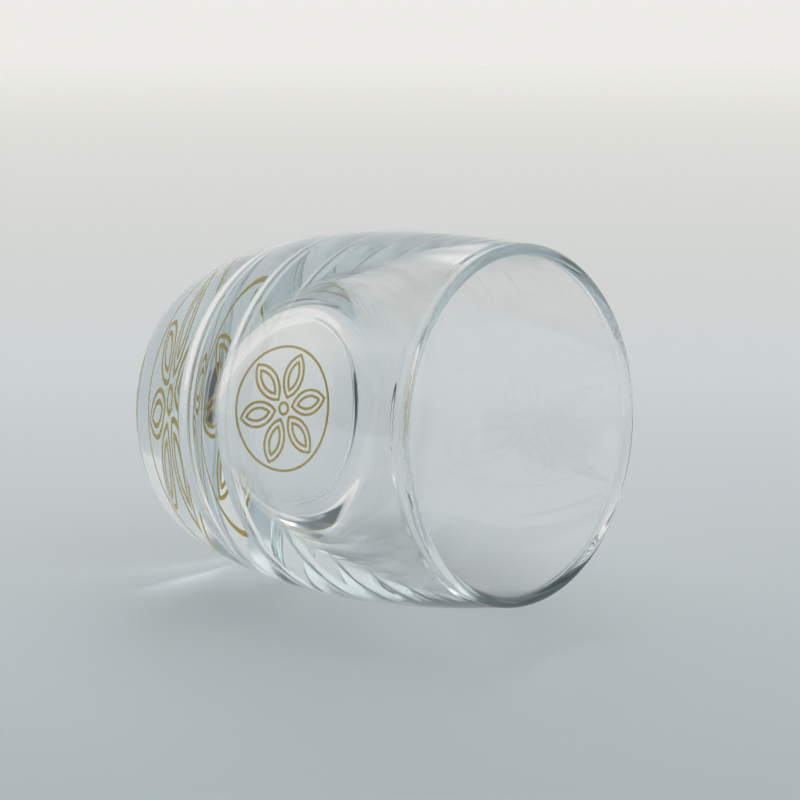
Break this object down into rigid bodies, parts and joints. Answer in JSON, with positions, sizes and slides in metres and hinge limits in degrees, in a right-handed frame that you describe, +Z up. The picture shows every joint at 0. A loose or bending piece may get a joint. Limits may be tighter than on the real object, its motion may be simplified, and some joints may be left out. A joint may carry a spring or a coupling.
{
  "type": "whisky glass",
  "caption": "Barrel-shaped clear glass whisky tumbler with a thick base, a wall that thins to a fire-polished bead at the lip, and a gold rosette print in the shallow hollow under its foot.",
  "frame": {"origin": "centre of the foot, on the plane that the glass stands on", "axes": "+Z up along the glass's axis, from the foot to the mouth; +X towards one petal of the print"},
  "size_m": [0.0818, 0.0818, 0.087],
  "materials": {
    "glass": "polished clear soda-lime glass",
    "gold": "fired gold print"
  },
  "bodies": {
    "root": {"tumbler": "glass", "print_outer_ring": "gold", "print_centre_ring": "gold", "print_petal_1": "gold", "print_petal_2": "gold", "print_petal_3": "gold", "print_petal_4": "gold", "print_petal_5": "gold", "print_petal_6": "gold", "print_petal_core_1": "gold", "print_petal_core_2": "gold", "print_petal_core_3": "gold", "print_petal_core_4": "gold", "print_petal_core_5": "gold", "print_petal_core_6": "gold"}
  },
  "joints": []
}
